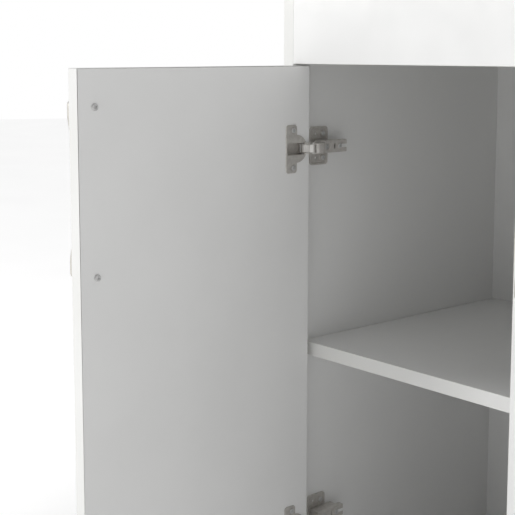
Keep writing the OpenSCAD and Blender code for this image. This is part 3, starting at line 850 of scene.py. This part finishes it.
def makeShelfPin():
    piece = addRod("pin", (-8, 0, 0), (8, 0, 0), 2.5, sides=32)
    soften(piece, 0.7, 3, 60)
    for x in (-1.2, -0.4):
        ring = addRod("ring", (x - 0.2, 0, 0), (x + 0.2, 0, 0), 4, sides=32)
        cut(ring, addRod("core", (x - 1, 0, 0), (x + 1, 0, 0), 2.2, sides=32))
        cut(piece, ring)
    return smooth(piece, 40)


def middles(node):
    # the middle of each loose solid in a CAD node
    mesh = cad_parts[node].data
    group = list(range(len(mesh.vertices)))

    def top(i):
        while group[i] != i:
            group[i] = group[group[i]]
            i = group[i]
        return i
    for a, b in (e.vertices for e in mesh.edges):
        group[top(a)] = top(b)
    lumps = {}
    for i, vertex in enumerate(mesh.vertices):
        lumps.setdefault(top(i), []).append(vertex.co)
    boxes = [[[f(p[k] for p in lump) for k in range(3)] for f in (min, max)] for lump in lumps.values()]
    return [(Vector(low) + Vector(high)) / 2 for low, high in boxes]


footProto, studProto, shelfPinProto = makeFoot(), makeStud(), makeShelfPin()
spots = [Matrix.Translation((m.x, m.y, 0)) for m in middles("foot_studs")]
pinSpots = [Matrix.Translation(m) for m in middles("shelf_pins")]
for name, proto, places, node, slot, finish in (
        ("feet", footProto, spots, "feet", "black_plastic", nylon),
        ("footStuds", studProto, spots, "foot_studs", "zinc", zinc),
        ("shelfPins", shelfPinProto, pinSpots, "shelf_pins", "nickel", nickel)):
    fit(joined(name, [copyTo(proto, "s", spot) for spot in places]), "cabinet", [node], slot, finish)
for proto in (footProto, studProto, shelfPinProto):
    bpy.data.objects.remove(proto)

# the knock-down fixings are hidden in the boards and keep their CAD shapes
for node, finish in (("dowels", beech), ("cam_bolts", zinc), ("cam_discs", zinc)):
    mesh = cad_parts[node].data
    mesh.materials.clear()
    mesh.materials.append(finish)
print("feet, studs and pins made")


# floor, light and camera

pickNothing()
bpy.ops.mesh.primitive_circle_add(vertices=96, radius=12, fill_type="NGON", location=(0, 0, 0))
floor = bpy.context.object
floor.name = "floor"
paleFloor, tree, shader, place = startFinish("paleFloor", Roughness=0.9)
coloured(tree, shader, mottle(tree, place, 400), "#F0F0F0", "#F5F5F5")
# the floor runs out into plain white a metre away from the cabinet
away = addNode(tree, "ShaderNodeVectorMath", {"operation": "LENGTH"}, in0=place)
glow = addNode(tree, "ShaderNodeMapRange", Value=away.outputs["Value"], From_Min=0.6, From_Max=1.15,
               To_Min=0.2, To_Max=0.58)
tree.links.new(glow.outputs["Result"], shader.inputs["Emission Strength"])
shader.inputs["Emission Color"].default_value = (1, 1, 1, 1)
floor.data.materials.append(paleFloor)


def softBox(name, spot, aim, size, power):
    pickNothing()
    turn = (Vector(aim) - Vector(spot)).to_track_quat("-Z", "Y").to_euler()
    bpy.ops.object.light_add(type="AREA", location=spot, rotation=turn)
    lamp = bpy.context.object
    lamp.name = name
    lamp.data.shape = "SQUARE"
    lamp.data.size = size
    lamp.data.energy = power


# the open door keeps the key light off the left of the inside
softBox("keyBox", (-2.15, -2.9, 1.35), (0, 0, 0.45), 0.9, 38)

world = bpy.data.worlds.new("studio")
bpy.context.scene.world = world
world.use_nodes = True
sky = world.node_tree
sky.nodes.clear()
fill = addNode(sky, "ShaderNodeBackground", Color=(1, 1, 1, 1), Strength=0.40)
backdrop = addNode(sky, "ShaderNodeBackground", Color=(1, 1, 1, 1), Strength=1.0)
rays = addNode(sky, "ShaderNodeLightPath")
blend = addNode(sky, "ShaderNodeMixShader", in0=rays.outputs["Is Camera Ray"], in1=fill.outputs[0],
                in2=backdrop.outputs[0])
addNode(sky, "ShaderNodeOutputWorld", Surface=blend.outputs[0])

pickNothing()
bpy.ops.object.camera_add(location=(0.74233, -1.22523, 0.77208),
                          rotation=(math.radians(83.019), 0, math.radians(49.692)))
camera = bpy.context.object
camera.data.sensor_width = 36
camera.data.lens = 79.92
camera.data.shift_x = 0.019
camera.data.shift_y = -0.13
bpy.context.scene.camera = camera
bpy.context.scene.view_settings.view_transform = "Standard"
print("stage set")
